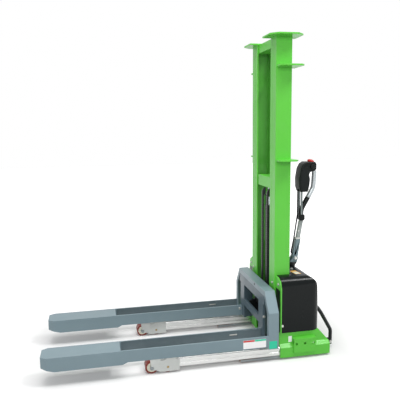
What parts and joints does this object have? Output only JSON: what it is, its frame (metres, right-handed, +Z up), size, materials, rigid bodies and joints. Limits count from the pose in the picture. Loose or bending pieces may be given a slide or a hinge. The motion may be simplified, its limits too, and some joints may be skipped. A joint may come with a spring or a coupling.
{
  "type": "self-loading pedestrian pallet stacker",
  "caption": "Battery walk-behind pallet stacker with mast, slotted forks over sliding load-wheel legs and tiller steering; it can lift itself onto a truck bed.",
  "frame": {"origin": "centre of the bounding box on the floor", "axes": "+X towards the fork tips, +Y to the machine's left, +Z up"},
  "size_m": [1.567, 0.612, 1.7],
  "materials": {
    "green_paint": "satin",
    "grey_paint": "satin",
    "black_cover": "gloss",
    "polished_bar": "polished",
    "cast_grey": "satin",
    "load_tyre": "satin",
    "cream_hub": "satin",
    "dark_steel": "satin",
    "bright_steel": "satin",
    "black_plastic": "satin",
    "red_plastic": "gloss",
    "drive_tyre": "matte",
    "brown_pad": "satin"
  },
  "bodies": {
    "chassis": {"leg_sleeve_left": "green_paint", "leg_sleeve_right": "green_paint", "rear_deck": "green_paint", "mast_foot": "green_paint", "side_bolt_plates": "green_paint", "mast_column_left": "green_paint", "mast_column_right": "green_paint", "mast_plates_left": "green_paint", "mast_plates_right": "green_paint", "mast_top_beam": "green_paint", "mast_rear_ties": "dark_steel", "lift_cylinder": "dark_steel", "leg_rails": "dark_steel", "leg_slide_pads": "brown_pad", "hood": "black_cover", "bulkhead": "green_paint", "batteries": "dark_steel", "rear_guard": "dark_steel"},
    "lift_crosshead": {"piston_rod": "bright_steel", "crosshead": "green_paint", "chain_sheaves": "dark_steel", "lift_chains": "dark_steel"},
    "fork_carriage": {"carriage_arch": "grey_paint", "carriage_cross_plate": "grey_paint", "mast_brackets": "green_paint", "mast_rollers": "dark_steel", "fork_left": "grey_paint", "fork_right": "grey_paint"},
    "leg_left": {"leg_bar_left": "polished_bar", "wheel_bracket_left": "cast_grey"},
    "leg_right": {"leg_bar_right": "polished_bar", "wheel_bracket_right": "cast_grey"},
    "steering_column": {"drive_unit": "dark_steel"},
    "drive_wheel": {"drive_wheel": "drive_tyre"},
    "tiller": {"tiller_arm": "grey_paint", "arm_band": "cream_hub", "tiller_upper_arm": "cast_grey", "tiller_knuckle": "black_plastic", "tiller_cable": "black_plastic", "tiller_handle": "bright_steel", "tiller_front_tubes": "bright_steel", "tiller_head": "black_plastic", "stop_button": "red_plastic"},
    "load_wheel_left_1": {"load_wheel_left_1": "load_tyre"},
    "load_wheel_left_2": {"load_wheel_left_2": "load_tyre"},
    "castor_left": {"castor_fork_left": "dark_steel"},
    "castor_left_roll": {"castor_wheel_left": "black_plastic"},
    "load_wheel_right_1": {"load_wheel_right_1": "load_tyre"},
    "load_wheel_right_2": {"load_wheel_right_2": "load_tyre"},
    "castor_right": {"castor_fork_right": "dark_steel"},
    "castor_right_roll": {"castor_wheel_right": "black_plastic"}
  },
  "joints": [
    {"name": "fork_lift", "type": "slide", "parent": "chassis", "child": "fork_carriage", "axis": [0, 0, 1], "range_m": [-0.07, 1.15]},
    {"name": "crosshead_lift", "type": "slide", "parent": "chassis", "child": "lift_crosshead", "axis": [0, 0, 1], "range_m": [-0.035, 0.575]},
    {"name": "steering", "type": "hinge", "parent": "chassis", "child": "steering_column", "pos_m": [-0.6115, 0, 0.2], "axis": [0, 0, 1], "range_deg": [-90, 90]},
    {"name": "drive_wheel_spin", "type": "hinge", "parent": "steering_column", "child": "drive_wheel", "pos_m": [-0.6115, 0, 0.075], "axis": [0, 1, 0], "continuous": true},
    {"name": "tiller_tilt", "type": "hinge", "parent": "steering_column", "child": "tiller", "pos_m": [-0.6285, 0, 0.484], "axis": [0, -1, 0], "range_deg": [0, 65], "stiffness_Nm_per_rad": 8, "springref_deg": -45.84},
    {"name": "leg_slide_left", "type": "slide", "parent": "chassis", "child": "leg_left", "axis": [1, 0, 0], "range_m": [-0.32, 0]},
    {"name": "load_wheel_left_1_spin", "type": "hinge", "parent": "leg_left", "child": "load_wheel_left_1", "pos_m": [0.2455, 0.244, 0.033], "axis": [0, 1, 0], "continuous": true},
    {"name": "load_wheel_left_2_spin", "type": "hinge", "parent": "leg_left", "child": "load_wheel_left_2", "pos_m": [0.1635, 0.244, 0.033], "axis": [0, 1, 0], "continuous": true},
    {"name": "castor_swivel_left", "type": "hinge", "parent": "chassis", "child": "castor_left", "pos_m": [-0.6115, 0.15, 0.06], "axis": [0, 0, 1], "continuous": true},
    {"name": "castor_spin_left", "type": "hinge", "parent": "castor_left", "child": "castor_left_roll", "pos_m": [-0.6265, 0.15, 0.025], "axis": [0, 1, 0], "continuous": true},
    {"name": "leg_slide_right", "type": "slide", "parent": "chassis", "child": "leg_right", "axis": [1, 0, 0], "range_m": [-0.32, 0]},
    {"name": "load_wheel_right_1_spin", "type": "hinge", "parent": "leg_right", "child": "load_wheel_right_1", "pos_m": [0.2455, -0.244, 0.033], "axis": [0, 1, 0], "continuous": true},
    {"name": "load_wheel_right_2_spin", "type": "hinge", "parent": "leg_right", "child": "load_wheel_right_2", "pos_m": [0.1635, -0.244, 0.033], "axis": [0, 1, 0], "continuous": true},
    {"name": "castor_swivel_right", "type": "hinge", "parent": "chassis", "child": "castor_right", "pos_m": [-0.6115, -0.15, 0.06], "axis": [0, 0, 1], "continuous": true},
    {"name": "castor_spin_right", "type": "hinge", "parent": "castor_right", "child": "castor_right_roll", "pos_m": [-0.6265, -0.15, 0.025], "axis": [0, 1, 0], "continuous": true}
  ],
  "couplings": [
    {"joint": "crosshead_lift", "follows": "fork_lift", "ratio": 0.5}
  ]
}
